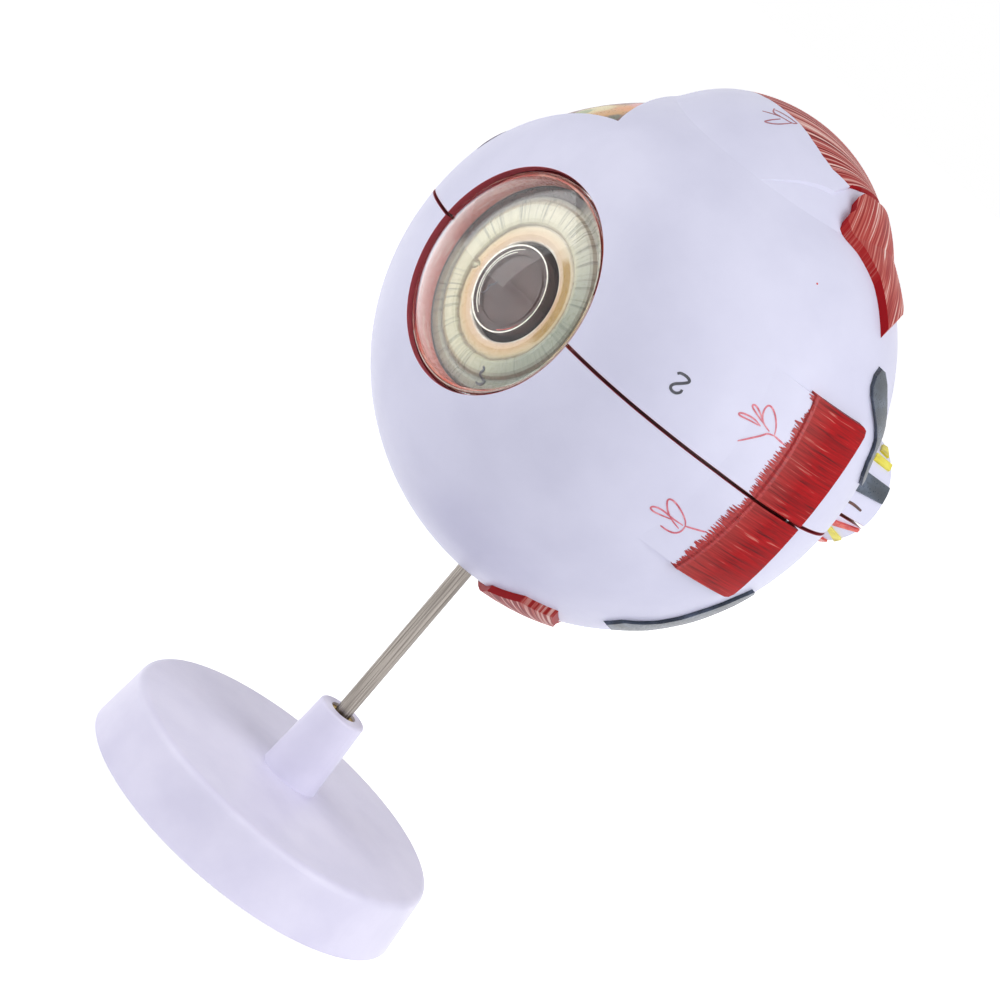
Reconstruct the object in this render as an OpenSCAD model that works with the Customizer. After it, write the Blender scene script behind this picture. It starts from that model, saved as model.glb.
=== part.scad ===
// Sectional model of a right human eye on a stand, about six times life size.
// Origin: middle of the underside. +Z is up, the cornea looks along -Y and +X is the nasal side.
// Inside the eyeball, "v" is the distance forward from the eye centre along the optical axis.

/* [Eyeball] */
// Radius of the eyeball at its equator
eye_r = 75; // [73:0.5:77]
// Distance from the eye centre to the back pole
back_depth = 56; // [54:0.5:58]
// Radius of the shoulder behind the equator
shoulder_r = 46; // [44:0.5:48]
// Angle off the optical axis at which the flatter front begins
front_angle = 48; // [46:0.5:50]
// Radius of the flatter front
front_r = 43; // [42:0.5:44]
// Height of the eye centre above the table
eye_z = 178; // [174:1:190]
// Radius of the round opening for the cornea
opening_r = 32.2; // [31.6:0.1:32.8]
// Height of the seam above the eye centre
seam_z = 0.9; // [0.5:0.1:1.5]
// Width of the seam between the two white halves
seam_gap = 0.9; // [0.6:0.1:1.2]

/* [Layers] */
// Wall of the white outer shell
sclera_wall = 2.4; // [2:0.1:2.8]
// Wall of the choroid shell
choroid_wall = 2.2; // [1.8:0.1:2.6]
// Wall of the retina shell
retina_wall = 1.6; // [1.4:0.1:2]
// Wall of the clear vitreous body
vitreous_wall = 2; // [1.5:0.1:2.5]
// Clearance between pieces that lift apart
lift_gap = 0.3; // [0.25:0.05:0.4]
// Clearance between pieces that are glued together
bond_gap = 0.1; // [0.05:0.05:0.2]
// Radius of the two pins that line up the white halves
pin_r = 0.7; // [0.5:0.1:0.8]
// Length of those pins
pin_l = 8; // [6:0.5:10]
// Distance forward at which the retina ends
retina_front_v = 25; // [20:1:30]
// Depth of the vitreous body's flat front behind the rim of the opening
vitreous_depth = 17.6; // [16.6:0.2:19.6]

/* [Cornea and iris] */
// How far the front edge of the choroid shows inside the opening
choroid_lip = 0.5; // [0.4:0.1:0.8]
// Depth of the cornea's edge behind the rim of the opening
cornea_depth = 1.4; // [1:0.1:1.8]
// Outer radius of curvature of the cornea
cornea_r = 45; // [43:0.5:52]
// Wall of the cornea
cornea_wall = 1; // [0.8:0.1:1.2]
// Length of the cornea's skirt inside the opening
skirt_l = 2.4; // [2:0.2:3]
// Depth of the salmon wall behind the rim of the opening
limbus_depth = 7; // [6.8:0.1:7.1]
// Depth of the iris's outer edge behind the rim of the opening
iris_depth = 7.2; // [7.2:0.1:7.6]
// Outer radius of the iris
iris_r = 29.2; // [28.6:0.1:29.3]
// How far the pupil and the lens's clear front sit below the middle of the ring
iris_drop = 1; // [0.5:0.1:1.2]
// Thickness of the iris
iris_t = 1.8; // [1.4:0.1:2.2]
// Radius of the pupil
pupil_r = 14.2; // [13.6:0.1:15]
// Height that the rim of the pupil stands above the iris's outer edge
pupil_rise = 0.8; // [0.5:0.1:1.2]
// Height of the bulge between the iris's two grooves
bulge_h = 1.3; // [1:0.1:1.6]
// Radius of the collarette groove
collarette_r = 18.9; // [18:0.1:20]
// Number of folds round the ciliary body
fold_count = 48; // [36:4:60]
// Height of a fold
fold_h = 1.6; // [1:0.2:2]

/* [Lens] */
// Radius of the lens at its edge
lens_r = 23.4; // [22.4:0.2:23.4]
// Radius of curvature of the lens's front
lens_front_r = 45; // [42:1:60]
// Radius of curvature of the lens's back
lens_back_r = 31; // [29:1:40]
// Thickness of the lens at its edge
lens_edge_t = 2; // [1.6:0.2:2.4]
// Radius of the clear front that stands in the pupil
tip_r = 12.6; // [12:0.1:13]
// Depth of that clear front behind the rim of the opening
tip_depth = 4.2; // [3.8:0.1:5]
// Width of the ring of zonule fibres round the lens
zonule_w = 2; // [1.6:0.1:2]

/* [Optic nerve] */
// Radius of the nerve sheath
nerve_r = 18; // [17:0.5:19]
// Wall of the nerve sheath
sheath_wall = 3.8; // [3:0.1:4.5]
// Distance of the nerve's axis to the nasal side
nerve_x = 18; // [16:0.5:20]
// Height of the nerve's axis above the eye centre
nerve_z = 5; // [4:0.5:6]
// Distance of the nerve's cut end behind the eye centre
nerve_end = 81; // [76:0.5:86]
// Radius of the central vessels in the nerve
vessel_r = 1.7; // [1.4:0.1:2]
// Distance of each central vessel from the nerve's axis
vessel_offset = 3; // [2.6:0.1:4]

/* [Muscles] */
// Thickness of the side muscles above the white shell
rectus_t = 2; // [1.6:0.1:2.4]
// Thickness of the oblique muscles above the white shell
oblique_t = 2.2; // [1.8:0.1:2.8]
// Height of the side muscles' upper edge above the eye centre
side_top = 31.5; // [28:0.5:34]
// Depth of the side muscles' lower edge below the eye centre
side_bottom = 26.6; // [24:0.2:30]
// Distance of the nasal muscle's front edge in front of the eye centre
medial_front = 17.5; // [16:0.5:21]
// Distance of the nasal muscle's cut edge behind the eye centre
medial_back = 6; // [4:0.5:9]
// How far the cut edge of a side muscle draws in at its middle
side_waist = 3.4; // [1:0.2:5]
// Distance that the temporal muscle is set back from the nasal one
lateral_shift = 7; // [5:0.5:9]
// Distance that a side muscle's white tendon reaches in front of it
tendon_l = 16; // [12:0.5:18]
// Radius of the swelling under the upper muscle
swell_r = 46.7; // [45.7:0.1:47.7]
// Height of that swelling above the equator
swell_h = 7; // [6:0.2:8]
// Distance of that swelling in front of the eye centre
swell_front = 3.8; // [2:0.2:6]
// Distance of the upper muscle's front edge in front of the eye centre
upper_front = 21.3; // [18:0.1:23]
// Thickness of the upper muscle
upper_t = 1; // [0.8:0.1:1.4]
// Thickness of the lower muscle
lower_t = 2; // [1.6:0.1:2.4]
// Thickness of the veins that lie on the white shell
vein_t = 1.2; // [0.9:0.1:1.5]
// Thickness of the cut nerves and arteries along the optic nerve
strand_t = 0.7; // [0.5:0.1:1]

/* [Window] */
// Width of the window in the upper shell
window_w = 48; // [46:0.5:48.5]
// Length of the window, from its front edge backwards
window_l = 50; // [46:1:52]
// Distance of the window's front edge behind the rim of the opening
window_depth = 9.6; // [8.6:0.2:12]
// Angle of the window's middle off the vertical, towards the temple
window_turn = 43.5; // [43:0.5:44]

/* [Stand] */
// Radius of the base at its foot
base_r = 54.25; // [52:0.25:58]
// Draft of the base: the radius that it loses towards its top
base_draft = 1.9; // [1:0.1:3]
// Thickness of the base at its edge
base_h = 20; // [19:0.5:24]
// Rise of the base's top face towards the boss
base_crown = 1.2; // [0.6:0.1:2]
// Radius of the base's top edge
base_round = 2.6; // [2:0.2:4]
// Wall of the base
base_wall = 3.2; // [2.6:0.1:4]
// Height of the top of the boss
boss_top = 46; // [42:0.5:52]
// Radius of the boss at its foot
boss_foot_r = 9.3; // [8.6:0.1:11]
// Radius of the boss at its top
boss_top_r = 7.8; // [7.2:0.1:8.5]
// Radius of the rod
rod_r = 2.5; // [2:0.1:3]
// Running clearance of the rod in its sleeve and socket
rod_gap = 0.05; // [0.03:0.01:0.08]
// Outer radius of the brass sleeve in the boss
sleeve_r = 4.15; // [3.9:0.05:4.6]
// Height of the rod's lower end
rod_foot = 13; // [11:0.5:15]
// Depth that the rod reaches into the eyeball
rod_reach = 18; // [15:0.5:20]
// Outer radius of the socket in the eyeball
socket_r = 7; // [6:0.2:8]
// Radius of the socket's flange
flange_r = 11; // [10:0.2:12]
// Thickness of the socket's flange
flange_t = 2.4; // [2:0.1:2.8]
// Thickness of the foam foot
foot_t = 1.5; // [1:0.1:2]
// Thickness of the bottom plate
plate_t = 2.7; // [2.4:0.1:3.2]
// Thickness of the steel weight
weight_t = 8; // [6:0.5:9]
// Distance of the screws from the middle of the base
screw_circle_r = 36; // [30:0.5:40]
// Radius of a screw's shank
screw_r = 1.5; // [1.2:0.1:1.8]

/* [Hidden] */
$fn = 96;
reach = eye_r + nerve_end;           // longer than anything in the eyeball
fit = 0.02;                          // play of a glued sleeve
join_ease = 0.005;                   // see the outline of the eyeball
// Outline of the eyeball, as arcs that meet smoothly
front_c = (eye_r - front_r) * [sin(front_angle), cos(front_angle)];
shoulder_c = [eye_r - shoulder_r, 0];
back_c = [0, (pow(shoulder_c.x, 2) - pow(back_depth - shoulder_r, 2)) / (2 * (back_depth - shoulder_r))];
back_r = back_depth + back_c.y;
back_angle = atan2(shoulder_c.x, back_c.y);
rim_v = front_c.y + sqrt(pow(front_r, 2) - pow(opening_r - front_c.x, 2));
// The muscles and veins are drawn on an eyeball of radius 75 and follow its size
follow = eye_r / 75;
// How far each layer lies inside the white surface
choroid_in = sclera_wall + lift_gap;
retina_in = choroid_in + choroid_wall + bond_gap;
vitreous_in = retina_in + retina_wall + lift_gap;
// Pieces that fill the opening, from its rim inwards
plug_r = opening_r - choroid_lip - lift_gap;
cornea_edge_v = rim_v - cornea_depth;
skirt_v = cornea_edge_v - skirt_l;
limbus_v = rim_v - limbus_depth;
iris_v = rim_v - iris_depth;
cornea_v = cornea_edge_v - sqrt(pow(cornea_r, 2) - pow(plug_r, 2));
limbus_r = plug_r - cornea_wall - lift_gap;
ledge_v = iris_v - iris_t - bond_gap;
// The lens, from its edge forwards and backwards
vitreous_front_v = rim_v - vitreous_depth;
lens_v = vitreous_front_v;
tip_v = rim_v - tip_depth;
lens_front_v = lens_v + lens_edge_t - sqrt(pow(lens_front_r, 2) - pow(lens_r, 2));
lens_back_v = lens_v + sqrt(pow(lens_back_r, 2) - pow(lens_r, 2));
zonule_r = lens_r + bond_gap + zonule_w;
ciliary_back_v = vitreous_front_v + lift_gap;
ciliary_r = zonule_r + lift_gap;
// The optic nerve
core_r = nerve_r - sheath_wall - lift_gap;
core_front = back_depth - choroid_in + 2 * lift_gap;
disc_r = 5.4;
disc_z = nerve_z + 2.5;
// The swelling under the upper muscle
swell_z = eye_r + swell_h - swell_r;
// The stand
base_top_r = base_r - base_draft;
rim_lift = 0.4;
plate_z = foot_t + plate_t;
column_r = sleeve_r + 4.8;
column_z = plate_z + 1;
screw_boss_r = screw_r + 2.5;
screw_head_r = screw_r + 1.3;
screw_head_t = 1.6;
screw_l = 10;
cavity_r = base_top_r - base_wall;
cavity_z = base_h - base_wall;
rod_top = eye_z - eye_r + rod_reach;
socket_top = rod_top + 2;

// ---- Outline and layers of the eyeball ----

function dir(a) = [sin(a), cos(a)];

// Half of the eyeball's section, drawn inset by t; x is the radius and y is v.
// The two tighter arcs stand proud by join_ease, so that they cross their neighbours cleanly.
module eye_outline(t) {
    intersection() {
        union() {
            square([front_c.x, front_c.y + front_r - t]);
            translate(front_c) circle(front_r + join_ease - t);
            translate(shoulder_c) circle(shoulder_r + join_ease - t);
            intersection() {
                circle(eye_r - t);
                polygon([[0, 0], reach * dir(front_angle), [reach, 0]]);
            }
            intersection() {
                translate(back_c) circle(back_r - t);
                polygon([back_c, back_c + 2 * reach * dir(180 - back_angle), [0, -reach]]);
            }
        }
        translate([0, -reach]) square([reach, 2 * reach]);
    }
}

// Local z runs forward along the optical axis, local y runs up
module on_axis() {
    translate([0, 0, eye_z]) rotate([90, 0, 0]) children();
}

module eye_solid(t) {
    on_axis() rotate_extrude() eye_outline(t);
}

module eye_shell(outer, inner) {
    difference() {
        eye_solid(outer);
        eye_solid(inner);
    }
}

// A ring round the optical axis, from v0 forward to v1
module axis_ring(r_in, r_out, v0, v1) {
    on_axis() translate([0, 0, v0]) difference() {
        cylinder(r = r_out, h = v1 - v0);
        if (r_in > 0) translate([0, 0, -1]) cylinder(r = r_in, h = v1 - v0 + 2);
    }
}

module above(z) {
    translate([-reach, -reach, z]) cube([2 * reach, 2 * reach, reach]);
}

module below(z) {
    translate([-reach, -reach, z - reach]) cube([2 * reach, 2 * reach, reach]);
}

module upper_part(gap) {
    intersection() {
        union() children();
        above(eye_z + seam_z + gap / 2);
    }
}

module lower_part(gap) {
    intersection() {
        union() children();
        below(eye_z + seam_z - gap / 2);
    }
}

// A round hole or bar along the optical nerve's axis, from y0 back to y1
module nerve_bar(r, y0, y1, dx = 0, dz = 0) {
    translate([nerve_x + dx, y1, eye_z + nerve_z + dz]) rotate([90, 0, 0]) cylinder(r = r, h = y1 - y0);
}

// ---- White shell ----

module swelling(extra = 0) {
    translate([0, -swell_front, eye_z + swell_z]) sphere(r = swell_r + extra);
}

module window_cut() {
    translate([0, 0, eye_z]) rotate([0, -window_turn, 0])
        translate([-window_w / 2, window_depth - rim_v, eye_r / 2]) cube([window_w, window_l, eye_r]);
}

// The white tendon in front of a side muscle is part of a larger ball,
// set back so that it dies away forwards
module tendon(front) {
    ball_back = rectus_t * eye_r / tendon_l;
    ball_r = eye_r + ball_back * (front + tendon_l) / eye_r;
    intersection() {
        translate([0, ball_back, eye_z]) sphere(r = ball_r);
        side_footprint(front + tendon_l + 2, -front, side_top - 0.6, side_bottom - 0.6, 0);
    }
}

// The upper muscle's tendon dies away forwards too, down the front of the swelling
module upper_tendon() {
    ball_back = upper_t * swell_r / tendon_l;
    rise = ball_back * (upper_front + tendon_l - swell_front) / swell_r;
    intersection() {
        translate([0, ball_back, 0]) swelling(rise);
        swelling(upper_t);
        difference() {
            top_footprint([[-24, -36], [20.2, -36.8], [22.7, -31], [25, -23.3], [26.9, -16.4], [24.4, -10.1],
                [0, -15], [-22, -18]]);
            top_footprint(upper_points);
        }
    }
}

module at_pins() {
    for (side = [-1, 1]) translate([side * (eye_r - sclera_wall / 2), 0, eye_z + seam_z]) children();
}

module seam_pins() {
    color("#b8babd") at_pins() cylinder(r = pin_r, h = pin_l, center = true);
}

module sclera() {
    difference() {
        union() {
            eye_solid(0);
            swelling();
            upper_tendon();
            tendon(medial_front);
            mirror([1, 0, 0]) tendon(medial_front - lateral_shift);
            nerve_bar(nerve_r, 30, nerve_end);
        }
        at_pins() cylinder(r = pin_r + rod_gap, h = pin_l + 1, center = true);
        eye_solid(sclera_wall);
        axis_ring(0, opening_r, 40, reach);
        nerve_bar(core_r + lift_gap, core_front - lift_gap, reach);
    }
}

module sclera_lower() {
    color("#e4e2f0") difference() {
        lower_part(seam_gap) sclera();
        translate([0, 0, eye_z - eye_r - 1]) cylinder(r = rod_r + 0.4, h = 10);
    }
}

module sclera_upper() {
    slot_w = 2 * (core_r + lift_gap);
    slot_y = core_front - lift_gap;
    color("#e4e2f0") difference() {
        upper_part(seam_gap) sclera();
        window_cut();
        // straight sides under the nerve's core let the upper half lift off
        translate([nerve_x - slot_w / 2, slot_y, eye_z]) cube([slot_w, reach, nerve_z]);
    }
}

module rod_socket() {
    color("#d8d8de") difference() {
        intersection() {
            union() {
                translate([0, 0, eye_z - eye_r]) cylinder(r = socket_r, h = socket_top - eye_z + eye_r);
                translate([0, 0, eye_z - eye_r]) cylinder(r = flange_r, h = sclera_wall + flange_t);
            }
            eye_solid(sclera_wall);
        }
        translate([0, 0, eye_z - eye_r - 1]) cylinder(r = rod_r + rod_gap, h = rod_reach + 1);
    }
}

// ---- Optic nerve ----

module nerve_core() {
    color("#e8d9a8") difference() {
        nerve_bar(core_r, core_front, nerve_end + 0.4);
        for (side = [-1, 1])
            nerve_bar(vessel_r + bond_gap, core_front - 1, reach, side * vessel_offset);
    }
}

module central_vessel(side) {
    nerve_bar(vessel_r, core_front, nerve_end + 1, side * vessel_offset);
}

module central_artery() {
    color("#c3262a") central_vessel(-1);
}

module central_vein() {
    color("#4a5670") central_vessel(1);
}

// ---- Choroid and retina ----

module socket_hole() {
    translate([0, 0, eye_z - eye_r - 1]) cylinder(r = flange_r + 2 * lift_gap, h = 30);
}

module choroid() {
    difference() {
        eye_shell(choroid_in, choroid_in + choroid_wall);
        axis_ring(0, opening_r - choroid_lip, 40, reach);
        socket_hole();
    }
}

module choroid_lower() {
    color("#6b2a22") lower_part(lift_gap) choroid();
}

module choroid_upper() {
    color("#6b2a22") upper_part(lift_gap) choroid();
}

module retina() {
    difference() {
        eye_shell(retina_in, retina_in + retina_wall);
        axis_ring(0, reach, retina_front_v, reach);
        socket_hole();
    }
}

module retina_lower() {
    color("#e2a15c") lower_part(lift_gap) retina();
}

module retina_upper() {
    color("#e2a15c") difference() {
        upper_part(lift_gap) retina();
        nerve_bar(disc_r + bond_gap, 20, reach, 0, disc_z - nerve_z);
    }
}

module optic_disc() {
    color("#f0dc92") intersection() {
        eye_shell(retina_in, retina_in + retina_wall);
        nerve_bar(disc_r, 20, reach, 0, disc_z - nerve_z);
    }
}

// ---- Vitreous body and lens ----

module vitreous_form(t) {
    difference() {
        intersection() {
            eye_solid(vitreous_in + t);
            axis_ring(0, reach, -reach, vitreous_front_v - t);
        }
        on_axis() translate([0, 0, lens_back_v]) sphere(r = lens_back_r + lift_gap + t);
        translate([0, 0, eye_z - eye_r])
            cylinder(r = socket_r + 1.2 + t, h = socket_top + 0.6 + t - eye_z + eye_r);
    }
}

module vitreous_body() {
    color("#eef4f8", 0.4) difference() {
        vitreous_form(0);
        vitreous_form(vitreous_wall);
    }
}

// The clear front that stands in the pupil has a raised rim and a step inside it
module lens_tip() {
    translate([0, 0, -iris_drop]) on_axis() rotate_extrude() polygon([
        [0, lens_v + lens_edge_t], [tip_r, lens_v + lens_edge_t], [tip_r, tip_v - 0.3], [tip_r - 0.3, tip_v],
        [tip_r - 0.9, tip_v], [tip_r - 1, tip_v - 0.6], [tip_r - 2.2, tip_v - 0.6], [tip_r - 2.3, tip_v - 0.3],
        [tip_r - 2.8, tip_v - 0.3], [tip_r - 3, tip_v - 1], [0, tip_v - 1]]);
}

module lens() {
    color("#f4f6f2", 0.5) {
        intersection() {
            on_axis() translate([0, 0, lens_front_v]) sphere(r = lens_front_r);
            on_axis() translate([0, 0, lens_back_v]) sphere(r = lens_back_r);
            axis_ring(0, lens_r, 0, reach);
        }
        lens_tip();
    }
}

module zonule_ring() {
    color("#f2efe6", 0.7) axis_ring(lens_r + bond_gap, zonule_r, ciliary_back_v, ciliary_back_v + 1.4);
}

// ---- Ciliary body, iris and cornea ----

module ciliary_body() {
    groove_r = plug_r - 0.8;
    fold_v = ledge_v - ciliary_back_v - 1.5;
    color("#4a211b") difference() {
        axis_ring(ciliary_r, plug_r, ciliary_back_v, limbus_v - bond_gap);
        axis_ring(0, groove_r, ledge_v, reach);
        // folds round the inside, behind the iris
        for (i = [0 : fold_count - 1])
            on_axis() rotate([0, 0, i * 360 / fold_count])
                translate([ciliary_r - 1, -0.6, ciliary_back_v - 1])
                cube([1 + fold_h, 1.2, fold_v + 1]);
    }
}

module limbus_ring() {
    lip_v = cornea_edge_v - 0.4;
    color("#d98a78") on_axis() rotate_extrude() polygon([
        [plug_r, limbus_v], [plug_r, skirt_v - lift_gap], [limbus_r, skirt_v - lift_gap],
        [limbus_r, lip_v], [limbus_r - 0.4, lip_v], [limbus_r - 0.6, limbus_v]]);
}

// The iris bulges between its grooves, and the part inside the bulge's crest sits lower in its ring
module iris() {
    crest_r = collarette_r + 3;
    groove_r = iris_r - 3.5;
    rise_v = iris_v + pupil_rise;
    crest_v = iris_v + bulge_h;
    back_v = iris_v - iris_t;
    color("#d9d0b4") {
        translate([0, 0, -iris_drop]) on_axis() rotate_extrude() polygon([
            [pupil_r, back_v], [pupil_r, rise_v - 0.3], [pupil_r + 0.3, rise_v], [pupil_r + 2, rise_v + 0.2],
            [collarette_r - 1, iris_v + 0.7], [collarette_r, iris_v + 0.4],
            [collarette_r + 0.8, crest_v - 0.2], [collarette_r + 1.8, crest_v], [crest_r + 1, crest_v],
            [crest_r + 1, back_v]]);
        on_axis() rotate_extrude() polygon([
            [crest_r - 0.8, back_v], [crest_r - 0.8, crest_v], [groove_r - 1.9, crest_v],
            [groove_r - 1.1, crest_v - 0.3], [groove_r - 0.4, iris_v + 0.1], [groove_r, iris_v],
            [groove_r + 0.5, iris_v + 0.1], [groove_r + 1.1, iris_v + 0.45], [iris_r - 0.5, iris_v + 0.45],
            [iris_r, iris_v], [iris_r, back_v]]);
    }
}

module cornea() {
    color("#f6fafc", 0.35) on_axis() rotate_extrude() {
        intersection() {
            difference() {
                translate([0, cornea_v]) circle(cornea_r);
                translate([0, cornea_v]) circle(cornea_r - cornea_wall);
            }
            translate([0, cornea_edge_v]) square([reach, reach]);
        }
        translate([plug_r - cornea_wall, skirt_v]) square([cornea_wall - bond_gap, skirt_l]);
    }
}

// ---- Muscles, vessels and nerves on the white shell ----

// Keeps the layer of thickness t on the white surface where the footprint covers it
module on_surface(t) {
    intersection() {
        eye_shell(-t, 0);
        children();
    }
}

// The white shell with its swelling, grown by t
module crown(t) {
    eye_solid(-t);
    swelling(t);
}

// Keeps the layer of thickness t on the upper shell and its swelling
module on_crown(t) {
    intersection() {
        difference() {
            crown(t);
            crown(0);
        }
        children();
    }
}

// A footprint in (y, z) seen from the side; the corners at its back are cut and its back is drawn in by waist
module side_footprint(front, back, top, bottom, corner, waist = 0) {
    rise = (top + bottom) / 2 - corner;
    middle = (top - bottom) / 2;
    cut_edge = [for (t = [-1 : 0.25 : 1]) [back - waist * (1 - t * t), middle + rise * t]];
    translate([0, 0, eye_z]) rotate([90, 0, 90]) linear_extrude(reach) polygon(concat(
        [[-front, -bottom], [back - corner, -bottom], [back - corner / 4, corner / 4 - bottom]],
        waist > 0 ? cut_edge : [cut_edge[0], cut_edge[8]],
        [[back - corner / 4, top - corner / 4], [back - corner, top], [-front, top]]));
}

module side_muscle(shift) {
    on_surface(rectus_t)
        side_footprint(medial_front - shift, medial_back + shift, side_top, side_bottom, 2, side_waist);
}

module medial_rectus_upper() {
    color("#c02020") upper_part(seam_gap) side_muscle(0);
}

module medial_rectus_lower() {
    color("#c02020") lower_part(seam_gap) side_muscle(0);
}

module lateral_rectus_upper() {
    color("#c02020") upper_part(seam_gap) mirror([1, 0, 0]) side_muscle(lateral_shift);
}

module lateral_rectus_lower() {
    color("#c02020") lower_part(seam_gap) mirror([1, 0, 0]) side_muscle(lateral_shift);
}

// A footprint in (x, y) seen from above
module top_footprint(points) {
    translate([0, 0, eye_z]) linear_extrude(reach) polygon(follow * points);
}

module bottom_footprint(points) {
    translate([0, 0, eye_z - reach]) linear_extrude(reach) polygon(follow * points);
}

upper_points = [[-22, 3.3 - upper_front], [-10, 0.3 - upper_front], [-1, -upper_front], [6.5, 1 - upper_front],
    [12, 1.6 - upper_front], [17, 2.9 - upper_front], [21, 5.3 - upper_front], [24.4, -10.1], [23.6, -9],
    [22.6, -3.4], [20.3, 4], [14, 22], [-18, 24]];

module superior_rectus() {
    color("#b8402f") on_crown(upper_t) top_footprint(upper_points);
}

module inferior_rectus() {
    color("#b8402f") on_surface(lower_t)
        bottom_footprint([[-16, 4.5], [2, 4.5], [12, -4], [25.5, -16.5], [37, -16.5], [43, -9], [38, 0],
            [28, 12], [20, 26], [-10, 26]]);
}

// The upper oblique's cut end faces the nose, and its front corner is notched
oblique_points = [[25.9, -5.4], [27.8, -8.6], [31.2, -10], [32.6, -12.6], [33.9, -13.1], [36.1, -10.9],
    [38.6, -6.4], [42, -2.5], [44.6, 0], [48.2, 1.8], [51.3, 3], [54.5, 4.2], [52.3, 7.3], [45.1, 16.9],
    [37.6, 22.8], [30, 28], [22, 29], [18.5, 22], [24.5, 3]];

module superior_oblique() {
    color("#c86a62") on_crown(oblique_t) top_footprint(oblique_points);
}

module inferior_oblique() {
    color("#c86a62") on_surface(oblique_t) mirror([1, 0, 0]) bottom_footprint(oblique_points);
}

// A vein that comes out of the shell as a leaf and narrows towards the optic nerve; the points are (y, z)
module vortex_vein(points, shift) {
    on_surface(vein_t) translate([0, shift.x, eye_z + shift.y]) rotate([90, 0, 90]) linear_extrude(reach)
        polygon(follow * points);
}

// The temporal vein is shifted from the nasal one, clear of the muscles on its side
module vortex_veins(points, temporal_shift) {
    color("#556070") {
        vortex_vein(points, [0, 0]);
        mirror([1, 0, 0]) vortex_vein(points, temporal_shift);
    }
}

module vortex_veins_upper() {
    vortex_veins([[5.6, 45.5], [3.6, 43.3], [3.2, 40.7], [4.5, 38.6], [8.5, 35.5], [12.4, 32.9], [16.1, 30],
        [17.4, 27.6], [17.6, 23.8], [19.5, 20], [23, 17.5], [24, 19], [21.5, 22], [20.4, 26], [20.4, 31.3],
        [19.2, 34], [16.2, 37.2], [12.7, 40.6], [10.7, 43], [7.8, 45.3]], [lateral_shift / 2, 0]);
}

module vortex_veins_lower() {
    vortex_veins([[-1.6, -54.9], [-1.1, -50.9], [2.2, -48.4], [5.3, -44.9], [7.3, -40.5], [8.6, -35.6],
        [12.9, -25.7], [15.5, -22], [17.5, -23], [17, -28], [14, -40], [9, -50], [3, -56]],
        [lateral_shift - 2, 8]);
}

// A raised patch on the nerve sheath.
// Each corner is [angle above the nasal side, distance from the sheath's cut end].
module nerve_patch(corners) {
    angles = [for (corner = corners) corner[0]];
    middle = (min(angles) + max(angles)) / 2;
    intersection() {
        difference() {
            nerve_bar(nerve_r + strand_t, back_depth, nerve_end);
            nerve_bar(nerve_r, back_depth - 1, nerve_end + 1);
        }
        translate([nerve_x, 0, eye_z + nerve_z]) rotate([0, 90 - middle, 0]) linear_extrude(2 * nerve_r)
            polygon([for (corner = corners) [nerve_r * sin(middle - corner[0]), nerve_end - corner[1]]]);
    }
}

module ciliary_nerves_upper() {
    color("#e8dc28") {
        nerve_patch([[73, 3], [73, 0.5], [59, 2], [62, 6]]);
        nerve_patch([[57, 8.6], [54, 0.4], [46, 2], [48, 10.8]]);
    }
}

module ciliary_nerve_lower() {
    color("#e8dc28") nerve_patch([[-28.5, 11], [-36, 0.4], [-44, 0.4], [-33, 10.7]]);
}

module ciliary_vein() {
    color("#46505f") nerve_patch([[34, 14.3], [32, 0.4], [15, 1], [13, 15.7]]);
}

module ciliary_arteries() {
    color("#d4322a") {
        nerve_patch([[-21, 12.1], [-15.5, 0.8], [-19, 0.4], [-27, 11.4]]);
        nerve_patch([[-51, 5.6], [-51, 0.4], [-64, 0.4], [-62, 3]]);
    }
}

// ---- Stand ----

module at_screws() {
    for (i = [0 : 2]) rotate([0, 0, 90 + 120 * i]) translate([screw_circle_r, 0, 0]) children();
}

module base() {
    shoulder = [base_top_r - base_round, base_h - base_round];
    color("#e0dff0") difference() {
        union() {
            difference() {
                rotate_extrude() {
                    polygon([[0, rim_lift], [base_r, rim_lift], [base_top_r, shoulder.y],
                        [shoulder.x, base_h], [boss_foot_r, base_h + base_crown], [boss_top_r, boss_top - 1],
                        [boss_top_r - 1, boss_top], [0, boss_top]]);
                    translate(shoulder) circle(base_round);
                    translate([boss_top_r - 1, boss_top - 1]) circle(1);
                }
                cylinder(r = cavity_r, h = cavity_z);
            }
            translate([0, 0, column_z]) cylinder(r = column_r, h = cavity_z + 1 - column_z);
            at_screws() translate([0, 0, plate_z + 0.1])
                cylinder(r = screw_boss_r, h = cavity_z + 0.9 - plate_z);
        }
        translate([0, 0, rod_foot - 3]) cylinder(r = sleeve_r + fit, h = boss_top);
        at_screws() cylinder(r = screw_r + bond_gap / 2, h = plate_z + screw_l + 1);
    }
}

module base_plate() {
    color("#c8c8d2") difference() {
        translate([0, 0, foot_t]) cylinder(r = cavity_r - lift_gap, h = plate_t);
        at_screws() cylinder(r = screw_r + 0.2, h = plate_z + 1);
        at_screws() cylinder(r = screw_head_r + 0.2, h = foot_t + screw_head_t);
    }
}

module foot_pad() {
    color("#3a3a3e") cylinder(r = cavity_r - 2, h = foot_t);
}

module base_weight() {
    color("#8a8d90") translate([0, 0, plate_z + 0.1]) difference() {
        cylinder(r = cavity_r - 2, h = weight_t);
        translate([0, 0, -1]) cylinder(r = column_r + 0.6, h = weight_t + 2);
        at_screws() translate([0, 0, -1]) cylinder(r = screw_boss_r + 0.5, h = weight_t + 2);
    }
}

module base_screws() {
    color("#b8babd") at_screws() {
        translate([0, 0, foot_t]) cylinder(r = screw_head_r, h = screw_head_t);
        translate([0, 0, foot_t]) cylinder(r = screw_r, h = screw_head_t + screw_l);
    }
}

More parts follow.
